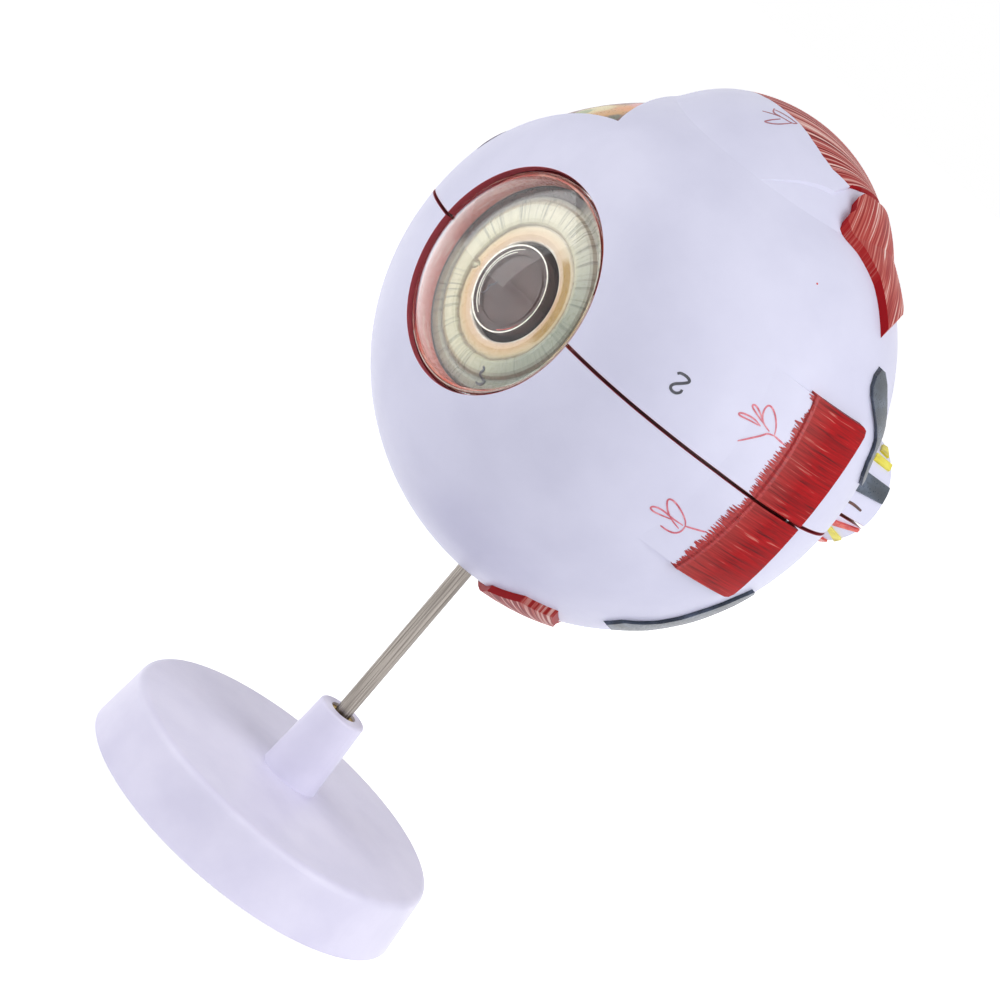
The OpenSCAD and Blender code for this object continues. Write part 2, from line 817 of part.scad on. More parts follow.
module rod_sleeve() {
    color("#a8955a") difference() {
        translate([0, 0, rod_foot - 3]) cylinder(r = sleeve_r, h = boss_top - 0.8 - rod_foot + 3);
        translate([0, 0, rod_foot]) cylinder(r = rod_r + rod_gap, h = boss_top);
    }
}

module rod() {
    color("#b9b4ab") translate([0, 0, rod_foot]) cylinder(r = rod_r, h = rod_top - rod_foot);
}

base();
base_plate();
foot_pad();
base_weight();
base_screws();
rod_sleeve();
rod();
sclera_lower();
sclera_upper();
seam_pins();
rod_socket();
nerve_core();
central_artery();
central_vein();
choroid_lower();
choroid_upper();
retina_lower();
retina_upper();
optic_disc();
vitreous_body();
lens();
zonule_ring();
ciliary_body();
limbus_ring();
iris();
cornea();
medial_rectus_upper();
medial_rectus_lower();
lateral_rectus_upper();
lateral_rectus_lower();
superior_rectus();
inferior_rectus();
superior_oblique();
inferior_oblique();
vortex_veins_upper();
vortex_veins_lower();
ciliary_nerves_upper();
ciliary_nerve_lower();
ciliary_vein();
ciliary_arteries();
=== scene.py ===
# Looks of the sectional eye model: painted shells and muscles, clear plastics, the stand and the studio.
import math
import random
import bmesh
import bpy
from mathutils import Matrix, Quaternion, Vector
from mathutils.bvhtree import BVHTree


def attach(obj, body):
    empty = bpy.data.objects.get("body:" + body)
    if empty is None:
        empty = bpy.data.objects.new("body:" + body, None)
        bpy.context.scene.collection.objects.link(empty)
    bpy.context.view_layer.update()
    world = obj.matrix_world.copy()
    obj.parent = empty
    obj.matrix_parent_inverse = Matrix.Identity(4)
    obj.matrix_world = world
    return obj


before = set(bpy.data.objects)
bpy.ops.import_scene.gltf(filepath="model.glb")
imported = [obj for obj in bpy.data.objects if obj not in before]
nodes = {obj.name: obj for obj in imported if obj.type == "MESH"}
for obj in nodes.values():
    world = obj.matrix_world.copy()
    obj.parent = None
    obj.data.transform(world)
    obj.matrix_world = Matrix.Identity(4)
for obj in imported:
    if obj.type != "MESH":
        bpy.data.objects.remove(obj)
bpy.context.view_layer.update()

mm = 0.001
eyeCentre = Vector((0, 0, 178))      # in millimetres, as every drawing below is
seamHeight = 0.9                     # of the seam above the eye's centre
irisDrop = 1.0                       # the pupil sits this much below the middle of its ring


def toLinear(hexCode):
    channels = [int(hexCode[i:i + 2], 16) / 255 for i in (1, 3, 5)]
    return (*[c / 12.92 if c <= 0.04045 else ((c + 0.055) / 1.055) ** 2.4 for c in channels], 1)


# adds one node: links maps a socket to a value, a hex colour or another node's output, and stops are the
# positions and colours of a colour ramp
def addNode(tree, kind, links, stops=(), **settings):
    node = tree.nodes.new(kind)
    for key, value in settings.items():
        setattr(node, key, value)
    for socket, value in links.items():
        if isinstance(value, bpy.types.NodeSocket):
            tree.links.new(value, node.inputs[socket])
        else:
            node.inputs[socket].default_value = toLinear(value) if isinstance(value, str) else value
    for index, (position, colour) in enumerate(stops):
        if index < 2:
            stop = node.color_ramp.elements[index]
            stop.position = position
        else:
            stop = node.color_ramp.elements.new(position)
        stop.color = toLinear(colour)
    return node


def newMaterial(name, **values):
    material = bpy.data.materials.new(name)
    material.use_nodes = True
    tree = material.node_tree
    shader = tree.nodes["Principled BSDF"]
    for socket, value in values.items():
        value = toLinear(value) if isinstance(value, str) else value
        shader.inputs[socket.replace("_", " ")].default_value = value
    return material, tree, shader


# the place on the model in millimetres from the eye's centre
def placeInMm(tree):
    place = addNode(tree, "ShaderNodeTexCoord", {})
    return addNode(tree, "ShaderNodeVectorMath",
                   {0: place.outputs["Object"], 1: (1000, 1000, 1000), 2: tuple(-eyeCentre)},
                   operation="MULTIPLY_ADD").outputs[0]


# roughness and a fine unevenness from one noise: the grain's width and depth are in mm
def addSurface(tree, shader, place, grain, depth, rough):
    noise = addNode(tree, "ShaderNodeTexNoise", {"Vector": place, "Scale": 1 / grain, "Detail": 2.0})
    spread = addNode(tree, "ShaderNodeMapRange",
                     {"Value": noise.outputs["Fac"], "From Min": 0.3, "From Max": 0.7,
                      "To Min": rough[0], "To Max": rough[1]})
    bump = addNode(tree, "ShaderNodeBump",
                   {"Height": noise.outputs["Fac"], "Strength": 1.0, "Distance": depth * mm})
    tree.links.new(spread.outputs["Result"], shader.inputs["Roughness"])
    tree.links.new(bump.outputs["Normal"], shader.inputs["Normal"])


# gives some of the model's own nodes a material
def paint(nodeNames, material):
    for name in nodeNames:
        slots = nodes[name].data.materials
        if not slots:
            slots.append(material)
        for index in range(len(slots)):
            slots[index] = material


# the camera that fits the photograph, in millimetres and degrees
cameraSetup = {
    "position": Vector((532.9, -611.3, 286.5)),
    "target": Vector((1.96, -10.13, 124.8)),
    "roll": 40.38,        # the photograph is turned about its own middle
    "lens": 105.58,
    "sensor": 36,
}

# a plain white studio: the floor's half width is in metres, and its glow and the ambient are shares of white
studio = {
    "floorSize": 12,
    "floorColour": "#f4f4f6",
    "floorGlow": 0.8,
    "floorRough": 0.9,
    "ambient": 0.24,
    "ambientTint": "#f1f1fa",
}

# softboxes: azimuth from the front towards the nasal side and elevation in degrees, distance, width and
# height in metres, and radiance
softboxes = {
    "frontBox": (-41, 14, 1.25, 1.35, 1.75, 1.7),
    "sideBox": (100, 26, 1.3, 1.3, 1.3, 2.35),
    "topBox": (45, 72, 1.4, 1.2, 1.2, 0.95),
}


def makeCamera():
    setup = cameraSetup
    data = bpy.data.cameras.new("photoCamera")
    data.lens = setup["lens"]
    data.sensor_width = setup["sensor"]
    data.clip_start = 0.01
    data.clip_end = 50
    camera = bpy.data.objects.new("photoCamera", data)
    bpy.context.scene.collection.objects.link(camera)
    view = setup["target"] - setup["position"]
    turn = view.to_track_quat("-Z", "Y") @ Quaternion((0, 0, 1), math.radians(setup["roll"]))
    camera.matrix_world = Matrix.Translation(setup["position"] * mm) @ turn.to_matrix().to_4x4()
    bpy.context.scene.camera = camera


# 1 for what the camera sees, straight or through a mirror or clear part, 0 for the light on things
def seenDirectly(tree):
    rays = addNode(tree, "ShaderNodeLightPath", {})
    seen = addNode(tree, "ShaderNodeMath",
                   {0: rays.outputs["Is Camera Ray"], 1: rays.outputs["Is Glossy Ray"]}, operation="ADD")
    return addNode(tree, "ShaderNodeMath", {0: seen.outputs[0], 1: rays.outputs["Is Transmission Ray"]},
                   operation="ADD", use_clamp=True).outputs[0]


def makeStudio():
    mesh = bpy.data.meshes.new("studioFloor")
    shape = bmesh.new()
    bmesh.ops.create_grid(shape, x_segments=1, y_segments=1, size=studio["floorSize"])
    shape.to_mesh(mesh)
    shape.free()
    floor = bpy.data.objects.new("studioFloor", mesh)
    bpy.context.scene.collection.objects.link(floor)

    # matt white board, seen a little brighter than it is lit, so that it runs into the wall
    material, tree, shader = newMaterial("whiteBoard", Base_Color=studio["floorColour"],
                                         Roughness=studio["floorRough"])
    strength = addNode(tree, "ShaderNodeMath", {0: seenDirectly(tree), 1: studio["floorGlow"]},
                       operation="MULTIPLY")
    glow = addNode(tree, "ShaderNodeEmission", {"Strength": strength.outputs[0]})
    both = addNode(tree, "ShaderNodeAddShader", {0: shader.outputs[0], 1: glow.outputs[0]})
    tree.links.new(both.outputs[0], tree.nodes["Material Output"].inputs["Surface"])
    mesh.materials.append(material)

    world = bpy.data.worlds.new("studioWorld")
    bpy.context.scene.world = world
    world.use_nodes = True
    tree = world.node_tree
    background = tree.nodes["Background"]
    background.inputs["Color"].default_value = toLinear(studio["ambientTint"])
    background.inputs["Strength"].default_value = studio["ambient"]
    white = addNode(tree, "ShaderNodeBackground", {"Color": (1, 1, 1, 1), "Strength": 1})
    mixed = addNode(tree, "ShaderNodeMixShader",
                    {0: seenDirectly(tree), 1: background.outputs[0], 2: white.outputs[0]})
    tree.links.new(mixed.outputs[0], tree.nodes["World Output"].inputs["Surface"])

    for name, (azimuth, elevation, distance, width, height, radiance) in softboxes.items():
        data = bpy.data.lights.new(name, "AREA")
        data.shape = "RECTANGLE"
        data.size = width
        data.size_y = height
        data.energy = radiance * math.pi * width * height
        lamp = bpy.data.objects.new(name, data)
        bpy.context.scene.collection.objects.link(lamp)
        around, upward = math.radians(azimuth), math.radians(elevation)
        out = Vector((math.sin(around) * math.cos(upward), -math.cos(around) * math.cos(upward),
                      math.sin(upward)))
        lamp.matrix_world = (Matrix.Translation(eyeCentre * mm + out * distance)
                             @ out.to_track_quat("Z", "Y").to_matrix().to_4x4())


makeCamera()
makeStudio()
bpy.context.scene.view_settings.view_transform = "Standard"
print("camera and studio ready")


# sprayed enamel over the white halves: a soft lilac white, barely uneven, with dark red left in the seam
# and on the wall of the round opening, and the orange peel of a spray gun. Sizes are in mm.
enamel = {
    "light": "#dcdcf0", "shade": "#d4d4e9", "cloud": 26,
    "seamPaint": "#9a2630", "seamHalf": 0.47, "seamFade": 0.15,
    "rimPaint": "#b8505a", "rimRadius": 32.23, "rimFade": 0.06, "rimFront": (-50, -52),
    "peel": 1.8, "peelDepth": 0.0015, "rough": (0.36, 0.44),
}


def makeShellEnamel():
    material, tree, shader = newMaterial("sprayedEnamel")
    place = placeInMm(tree)
    cloud = addNode(tree, "ShaderNodeTexNoise",
                    {"Vector": place, "Scale": 1 / enamel["cloud"], "Detail": 4.0})
    white = addNode(tree, "ShaderNodeValToRGB", {0: cloud.outputs[0]},
                    stops=((0.35, enamel["shade"]), (0.65, enamel["light"])))
    axes = addNode(tree, "ShaderNodeSeparateXYZ", {0: place})
    fromSeam = addNode(tree, "ShaderNodeMath", {0: axes.outputs[2], 1: seamHeight}, operation="SUBTRACT")
    fromSeam = addNode(tree, "ShaderNodeMath", {0: fromSeam.outputs[0]}, operation="ABSOLUTE")
    inSeam = addNode(tree, "ShaderNodeMapRange",
                     {0: fromSeam.outputs[0], 1: enamel["seamHalf"],
                      2: enamel["seamHalf"] + enamel["seamFade"], 3: 1.0, 4: 0.0})
    colour = addNode(tree, "ShaderNodeMix",
                     {0: inSeam.outputs[0], 6: white.outputs[0], 7: enamel["seamPaint"]}, data_type="RGBA")
    # the wall of the round opening
    flat = addNode(tree, "ShaderNodeVectorMath", {0: place, 1: (1, 0, 1)}, operation="MULTIPLY")
    radius = addNode(tree, "ShaderNodeVectorMath", {0: flat.outputs[0]}, operation="LENGTH")
    onRim = addNode(tree, "ShaderNodeMapRange",
                    {0: radius.outputs[1], 1: enamel["rimRadius"], 2: enamel["rimRadius"] + enamel["rimFade"],
                     3: 1.0, 4: 0.0})
    start, end = enamel["rimFront"]
    inFront = addNode(tree, "ShaderNodeMapRange", {0: axes.outputs[1], 1: start, 2: end, 3: 0.0, 4: 1.0})
    onRim = addNode(tree, "ShaderNodeMath", {0: onRim.outputs[0], 1: inFront.outputs[0]},
                    operation="MULTIPLY")
    colour = addNode(tree, "ShaderNodeMix",
                     {0: onRim.outputs[0], 6: colour.outputs[2], 7: enamel["rimPaint"]}, data_type="RGBA")
    tree.links.new(colour.outputs[2], shader.inputs["Base Color"])
    addSurface(tree, shader, place, enamel["peel"], enamel["peelDepth"], enamel["rough"])
    return material


# brushed-on muscle enamel: fibres of two reds with pale and dark lines, and dark red on the cut edges.
# A fibre runs along "along", or towards "pivot" where the muscle fans out, and measures "fibre" in mm.
sideMuscle = {
    "lines": ((0.3, "#56060c"), (0.4, "#8c0a10"), (0.53, "#a80c12"), (0.63, "#b2161c"), (0.72, "#d27c70")),
    "fibre": (0.55, 13), "across": (0, 0, 1), "along": (0, 1, 0), "edge": "#4a0c12", "outlineBehind": -15,
    # the paler, greyer front (paleFront) of the nasal and outer muscles is a painted reflection of a softbox
    # in the glossy paint
    "pale": "#b0605a", "paleFront": (-17.5, -8), "paleFoot": (-17, -28),
    "bright": "#a80c12", "brightBack": (-6, 8),
}
outerMuscle = {**sideMuscle, "outlineBehind": -8, "paleFront": (-11, -4), "brightBack": (1, 15)}
upperMuscle = {
    "lines": ((0.39, "#640c10"), (0.45, "#8c1a18"), (0.5, "#b4504a"), (0.55, "#d49c92"), (0.62, "#ecd0c8")),
    "fibre": (0.62, 16), "pivot": (19, 8, 0), "fanRadius": 26, "edge": "#9c141a", "outlineBehind": -100,
    "pale": "#b84c44", "paleFront": (-22, -18),
}
lowerMuscle = {**upperMuscle, "pivot": (10, 60, 0), "fanRadius": 60, "paleFront": (-20, -14)}
obliqueMuscle = {
    "lines": ((0.34, "#7c1618"), (0.45, "#a03430"), (0.54, "#b85a50"), (0.61, "#d08e84"), (0.67, "#f6e0d8")),
    "fibre": (0.62, 24), "across": (0.54, 0.84, 0), "along": (-0.84, 0.54, 0),
    "edge": "#a0121a", "outlineBehind": -100,
}
lowerOblique = {**obliqueMuscle, "across": (-0.54, 0.84, 0), "along": (0.84, 0.54, 0)}


# how the brush worked on every muscle, with one painted reflection: the side muscles' pale front. A zone has
# its tone, its axis and the tone's share at its strongest.
brushwork = {
    "lineScale": 0.8, "washScale": 0.13, "washShare": 0.3, "zoneGain": 1.7, "edgeFacing": (0.35, 0.6),
    "edgeFade": 1.5, "relief": 0.05, "rough": (0.42, 0.55), "specular": 0.12,
    "zones": (("paleFront", "pale", 1, 0.4), ("paleFoot", "pale", 2, 0.25), ("brightBack", "bright", 1, 0.5)),
}


def makeMusclePaint(name, finish):
    material, tree, shader = newMaterial(name, Specular_IOR_Level=brushwork["specular"])
    place = placeInMm(tree)
    if "pivot" in finish:
        towards = addNode(tree, "ShaderNodeVectorMath", {0: finish["pivot"], 1: place}, operation="SUBTRACT")
        parts = addNode(tree, "ShaderNodeSeparateXYZ", {0: towards.outputs[0]})
        turn = addNode(tree, "ShaderNodeMath", {0: parts.outputs[0], 1: parts.outputs[1]},
                       operation="ARCTAN2")
        across = addNode(tree, "ShaderNodeMath", {0: turn.outputs[0], 1: finish["fanRadius"]},
                         operation="MULTIPLY").outputs[0]
        along = addNode(tree, "ShaderNodeVectorMath", {0: towards.outputs[0]}, operation="LENGTH").outputs[1]
    else:
        across = addNode(tree, "ShaderNodeVectorMath", {0: place, 1: finish["across"]},
                         operation="DOT_PRODUCT").outputs[1]
        along = addNode(tree, "ShaderNodeVectorMath", {0: place, 1: finish["along"]},
                        operation="DOT_PRODUCT").outputs[1]
    strands = addNode(tree, "ShaderNodeCombineXYZ", {0: across, 1: along})
    width, length = finish["fibre"]
    strands = addNode(tree, "ShaderNodeVectorMath", {0: strands.outputs[0], 1: (1 / width, 1 / length, 1)},
                      operation="MULTIPLY").outputs[0]
    fine = addNode(tree, "ShaderNodeTexNoise",
                   {"Vector": strands, "Scale": brushwork["lineScale"], "Detail": 2.5, "Roughness": 0.6,
                    "Distortion": 0.4})
    colour = addNode(tree, "ShaderNodeValToRGB", {0: fine.outputs[0]}, stops=finish["lines"]).outputs[0]
    # broad washes, where the brush held more or less paint
    wash = addNode(tree, "ShaderNodeTexNoise",
                   {"Vector": strands, "Scale": brushwork["washScale"], "Detail": 2.0})
    washed = addNode(tree, "ShaderNodeMapRange",
                     {0: wash.outputs[0], 1: 0.4, 2: 0.65, 3: 0.0, 4: brushwork["washShare"]})
    colour = addNode(tree, "ShaderNodeMix", {0: washed.outputs[0], 6: colour, 7: finish["edge"]},
                     data_type="RGBA").outputs[2]
    axes = addNode(tree, "ShaderNodeSeparateXYZ", {0: place})
    for zone, tone, axis, amount in brushwork["zones"]:
        if zone in finish:
            start, end = finish[zone]
            first, last = (1.0, 0.0) if zone == "paleFront" else (0.0, 1.0)
            inZone = addNode(tree, "ShaderNodeMapRange",
                             {0: axes.outputs[axis], 1: start, 2: end, 3: first * amount, 4: last * amount})
            broken = addNode(tree, "ShaderNodeMath", {0: inZone.outputs[0], 1: fine.outputs[0]},
                             operation="MULTIPLY")
            broken = addNode(tree, "ShaderNodeMath", {0: broken.outputs[0], 1: brushwork["zoneGain"]},
                             operation="MULTIPLY", use_clamp=True)
            colour = addNode(tree, "ShaderNodeMix", {0: broken.outputs[0], 6: colour, 7: finish[tone]},
                             data_type="RGBA").outputs[2]
    # the cut edges face away from the ball's middle line and carry a dark outline
    outward = addNode(tree, "ShaderNodeVectorMath", {0: place}, operation="NORMALIZE")
    facing = addNode(tree, "ShaderNodeTexCoord", {})
    facing = addNode(tree, "ShaderNodeVectorMath", {0: facing.outputs["Normal"], 1: outward.outputs[0]},
                     operation="DOT_PRODUCT")
    start, end = brushwork["edgeFacing"]
    onEdge = addNode(tree, "ShaderNodeMapRange", {0: facing.outputs[1], 1: start, 2: end, 3: 1.0, 4: 0.0})
    start = finish["outlineBehind"]
    behind = addNode(tree, "ShaderNodeMapRange",
                     {0: axes.outputs[1], 1: start, 2: start + brushwork["edgeFade"], 3: 0.0, 4: 1.0})
    onEdge = addNode(tree, "ShaderNodeMath", {0: onEdge.outputs[0], 1: behind.outputs[0]},
                     operation="MULTIPLY")
    colour = addNode(tree, "ShaderNodeMix", {0: onEdge.outputs[0], 6: colour, 7: finish["edge"]},
                     data_type="RGBA").outputs[2]
    tree.links.new(colour, shader.inputs["Base Color"])
    relief = addNode(tree, "ShaderNodeBump",
                     {"Height": fine.outputs[0], "Strength": 1.0, "Distance": brushwork["relief"] * mm})
    tree.links.new(relief.outputs[0], shader.inputs["Normal"])
    smooth, matt = brushwork["rough"]
    rough = addNode(tree, "ShaderNodeMapRange", {0: fine.outputs[0], 1: 0.3, 2: 0.7, 3: smooth, 4: matt})
    tree.links.new(rough.outputs[0], shader.inputs["Roughness"])
    return material


# plain brush paint whose tone drifts along the stroke: three tones, the drift's size in mm along x, y and z,
# and the roughness
strokePaints = {
    "slateEnamel": (("#28313c", "#37424f", "#566275"), (4, 9, 4), 0.3),           # veins: grey blue, streaky
    "yellowEnamel": (("#b9a81c", "#e4d628", "#f2ea5a"), (3, 9, 3), 0.35),         # cut nerves: clear yellow
    "arteryEnamel": (("#9c1a16", "#d4322a", "#ee7a50"), (3, 8, 3), 0.3),          # arteries: glossy red
    "vesselEnamel": (("#b84a58", "#d0687a", "#e298a2"), (2, 2, 2), 0.35),         # fine vessels: pink, thin
    "mauveEnamel": (("#8c4a54", "#a25a66", "#c08088"), (2, 2, 2), 0.35),          # vessels on top: duller
    "markingInk": (("#2e2f36", "#44454d", "#5c5e66"), (1.5, 1.5, 1.5), 0.5),      # digits: worn dark ink
    "nerveEnamel": (("#c9ac70", "#e4cf98", "#f2e6bc"), (1.2, 1.2, 1.2), 0.45),    # nerve: speckled cream
    "discEnamel": (("#e0c070", "#f0dc92", "#f8eebe"), (3, 3, 3), 0.4),            # optic disc: soft yellow
    "fringeEnamel": (("#7c080e", "#a30e14", "#b83a34"), (6, 6, 0.6), 0.5),        # muscle ends: hair by hair
    "zonulePlastic": (("#cfc8b8", "#ebe6d8", "#faf7ee"), (0.9, 4, 0.9), 0.4),     # zonule: off-white fibres
    "ciliaryEnamel": (("#2c120e", "#4a211b", "#6e3a2c"), (2.2, 3, 2.2), 0.4),     # ciliary folds: dark brown
}


def makeStrokePaint(name):
    tones, drift, rough = strokePaints[name]
    material, tree, shader = newMaterial(name, Coat_Weight=0.15, Coat_Roughness=0.15)
    place = placeInMm(tree)
    streaks = addNode(tree, "ShaderNodeVectorMath", {0: place, 1: tuple(1 / d for d in drift)},
                      operation="MULTIPLY")
    noise = addNode(tree, "ShaderNodeTexNoise", {"Vector": streaks.outputs[0], "Scale": 1.0, "Detail": 4.0})
    colour = addNode(tree, "ShaderNodeValToRGB", {0: noise.outputs[0]},
                     stops=((0.3, tones[0]), (0.5, tones[1]), (0.72, tones[2])))
    tree.links.new(colour.outputs[0], shader.inputs["Base Color"])
    addSurface(tree, shader, place, 0.8, 0.02, (rough - 0.05, rough + 0.08))
    return material


# iris: hand-painted rings round the pupil on cream enamel. The stops give the distance from the axis in mm.
# A wash has its source, the source's range, its share and tone, and whether it keeps to the outer rings.
# An arc has its tone, its middle and half its spread in degrees, its inner and outer radius and its rings.
irisPaint = {
    "reach": 30,
    # the whitish first stop, at the pupil's edge, is a painted highlight of the lit rim round the pupil
    "inner": ((14.3, "#ece6da"), (14.9, "#c4a586"), (16.4, "#bf9c70"), (18.3, "#c2ae88"), (18.75, "#988568"),
              (19.1, "#8a7a60"), (19.6, "#b8b192"), (22.5, "#c2bb9e")),
    "outer": ((22.0, "#c2bb9e"), (24.2, "#b0aa8c"), (25.2, "#9c9680"), (25.9, "#6c6555"), (26.5, "#97917b"),
              (27.8, "#857e69"), (28.7, "#6b6352"), (29.2, "#4c4539")),
    "green": "#6f7664", "fleck": "#3c3f34", "ochre": "#98721e", "shadowCrescent": "#2e100c", "paintedReflection": "#d0cabc",
    "threads": 26, "wobble": 4, "wobbleReach": 0.25, "ringsMeet": (21.8, 22.6), "washesStart": (18.5, 20.5),
    # the pale cream wash that rises towards the top is a painted reflection of a softbox; the green wash and
    # the flecks are paint
    "washes": (("right", 0, 18, 0.85, "green", True), ("up", 4, 20, 0.4, "paintedReflection", False),
               ("threads", 0.52, 0.66, 0.55, "fleck", True)),
    # the dark crescent at the upper left of the outer rings is a painted shadow, cast there by the ring's
    # wall; the ochre arc is paint
    "arcs": (("ochre", 24, 46, 15.6, 18.2, "inner"), ("shadowCrescent", 137, 52, 26.0, 30.5, "outer")),
}


def makeIrisPaint():
    material, tree, shader = newMaterial("irisEnamel", Coat_Weight=0.3, Coat_Roughness=0.1)
    place = placeInMm(tree)
    axes = addNode(tree, "ShaderNodeSeparateXYZ", {0: place})
    reach = irisPaint["reach"]
    around = {}
    for part, drop in (("inner", irisDrop), ("outer", 0)):
        flat = addNode(tree, "ShaderNodeVectorMath", {0: place, 1: (1, 0, 1), 2: (0, 0, drop)},
                       operation="MULTIPLY_ADD")
        radius = addNode(tree, "ShaderNodeVectorMath", {0: flat.outputs[0]}, operation="LENGTH").outputs[1]
        heading = addNode(tree, "ShaderNodeVectorMath", {0: flat.outputs[0]},
                          operation="NORMALIZE").outputs[0]
        around[part] = radius, heading
    radius, heading = around["outer"]
    # fine threads that run out from the pupil, and a wobble that takes the rings off true
    threads = addNode(tree, "ShaderNodeVectorMath", {0: heading, 1: [irisPaint["threads"]] * 3},
                      operation="MULTIPLY")
    threads = addNode(tree, "ShaderNodeTexNoise",
                      {"Vector": threads.outputs[0], "Scale": 1.0, "Detail": 3.0, "Distortion": 0.6})
    wobble = addNode(tree, "ShaderNodeTexNoise",
                     {"Vector": place, "Scale": 1 / irisPaint["wobble"], "Detail": 2.0})
    shift = irisPaint["wobbleReach"]
    rings = {}
    for part in ("inner", "outer"):
        shifted = addNode(tree, "ShaderNodeMapRange",
                          {0: wobble.outputs[0], 1: 0.3, 2: 0.7, 3: -shift, 4: shift})
        shifted = addNode(tree, "ShaderNodeMath", {0: around[part][0], 1: shifted.outputs[0]},
                          operation="ADD")
        share = addNode(tree, "ShaderNodeMath", {0: shifted.outputs[0], 1: reach}, operation="DIVIDE")
        rings[part] = addNode(tree, "ShaderNodeValToRGB", {0: share.outputs[0]},
                              stops=[(r / reach, tone) for r, tone in irisPaint[part]]).outputs[0]
    start, end = irisPaint["ringsMeet"]
    outside = addNode(tree, "ShaderNodeMapRange", {0: radius, 1: start, 2: end, 3: 0.0, 4: 1.0})
    colour = addNode(tree, "ShaderNodeMix", {0: outside.outputs[0], 6: rings["inner"], 7: rings["outer"]},
                     data_type="RGBA").outputs[2]
    start, end = irisPaint["washesStart"]
    beyond = addNode(tree, "ShaderNodeMapRange", {0: radius, 1: start, 2: end, 3: 0.0, 4: 1.0})
    sources = {"right": axes.outputs[0], "up": axes.outputs[2], "threads": threads.outputs[0]}
    for source, start, end, share, tone, ringed in irisPaint["washes"]:
        wash = addNode(tree, "ShaderNodeMapRange",
                       {0: sources[source], 1: start, 2: end, 3: 0.0, 4: share}).outputs[0]
        if ringed:
            wash = addNode(tree, "ShaderNodeMath", {0: wash, 1: beyond.outputs[0]},
                           operation="MULTIPLY").outputs[0]
        colour = addNode(tree, "ShaderNodeMix", {0: wash, 6: colour, 7: irisPaint[tone]},
                         data_type="RGBA").outputs[2]
    for tone, middle, spread, inner, outer, part in irisPaint["arcs"]:
        angle = math.radians(middle)
        along = addNode(tree, "ShaderNodeVectorMath",
                        {0: around[part][1], 1: (math.cos(angle), 0, math.sin(angle))},
                        operation="DOT_PRODUCT")
        edge = math.cos(math.radians(spread))
        within = addNode(tree, "ShaderNodeMapRange",
                         {0: along.outputs[1], 1: edge, 2: edge + 0.12, 3: 0.0, 4: 1.0})
        rise = addNode(tree, "ShaderNodeMapRange",
                       {0: around[part][0], 1: inner, 2: inner + 0.5, 3: 0.0, 4: 1.0})
        fall = addNode(tree, "ShaderNodeMapRange",
                       {0: around[part][0], 1: outer - 0.5, 2: outer, 3: 1.0, 4: 0.0})
        arc = addNode(tree, "ShaderNodeMath", {0: rise.outputs[0], 1: fall.outputs[0]}, operation="MULTIPLY")
        arc = addNode(tree, "ShaderNodeMath", {0: arc.outputs[0], 1: within.outputs[0]}, operation="MULTIPLY")
        colour = addNode(tree, "ShaderNodeMix", {0: arc.outputs[0], 6: colour, 7: irisPaint[tone]},
                         data_type="RGBA").outputs[2]
    tree.links.new(colour, shader.inputs["Base Color"])
    addSurface(tree, shader, place, 0.9, 0.012, (0.24, 0.36))
    return material


# salmon enamel of the ring in front of the iris: airbrushed, deeper low down, with pale streaks round it
limbusPaint = {
    "salmon": "#bc5a4a", "deep": "#d8522e", "pale": "#dca08e", "streak": 1.4,
    "lowSide": (-0.6, 0, -0.8), "lowReach": (-10, 28), "lowShare": 0.8,
}


def makeLimbusPaint():
    material, tree, shader = newMaterial("salmonEnamel", Coat_Weight=0.3, Coat_Roughness=0.1)
    place = placeInMm(tree)
    low = addNode(tree, "ShaderNodeVectorMath", {0: place, 1: limbusPaint["lowSide"]},
                  operation="DOT_PRODUCT")
    start, end = limbusPaint["lowReach"]
    low = addNode(tree, "ShaderNodeMapRange",
                  {0: low.outputs[1], 1: start, 2: end, 3: 0.0, 4: limbusPaint["lowShare"]})
    colour = addNode(tree, "ShaderNodeMix",
                     {0: low.outputs[0], 6: limbusPaint["salmon"], 7: limbusPaint["deep"]}, data_type="RGBA")
    streaks = addNode(tree, "ShaderNodeVectorMath", {0: place, 1: (0.12, 1 / limbusPaint["streak"], 0.12)},
                      operation="MULTIPLY")
    streaks = addNode(tree, "ShaderNodeTexNoise", {"Vector": streaks.outputs[0], "Scale": 1.0, "Detail": 2.0})
    streaks = addNode(tree, "ShaderNodeMapRange", {0: streaks.outputs[0], 1: 0.5, 2: 0.68, 3: 0.0, 4: 0.85})
    colour = addNode(tree, "ShaderNodeMix",
                     {0: streaks.outputs[0], 6: colour.outputs[2], 7: limbusPaint["pale"]}, data_type="RGBA")
    tree.links.new(colour.outputs[2], shader.inputs["Base Color"])
    addSurface(tree, shader, place, 1.2, 0.01, (0.22, 0.34))
    return material


# choroid: dark red-brown enamel with a redder lip, and the colours that are dabbed on it inside the window;
# the dark olive one is painted shade.
# A dab has its middle, its radius in mm and its tone.
choroidPaint = {
    "deep": "#3e120f", "light": "#6e241a", "lip": "#7a1620", "lipFront": (-54, -57), "ragged": 0.8,
    "dabs": (((-29, -43.5, 49.5), 9.5, "#c98e3e"), ((-34.5, -42.5, 46.5), 6.5, "#dcca8e"),
             ((-35.5, -45, 44), 3.6, "#8e9a62"), ((-26.5, -40.5, 53.5), 5, "#dd8a3c"),
             # the last dab on the next line, dark olive, is painted shade in the window's near corner
             ((-28.3, -35, 56.6), 6, "#dc8c8a"), ((-22.4, -47.8, 49.2), 2.6, "#45461f")),
}


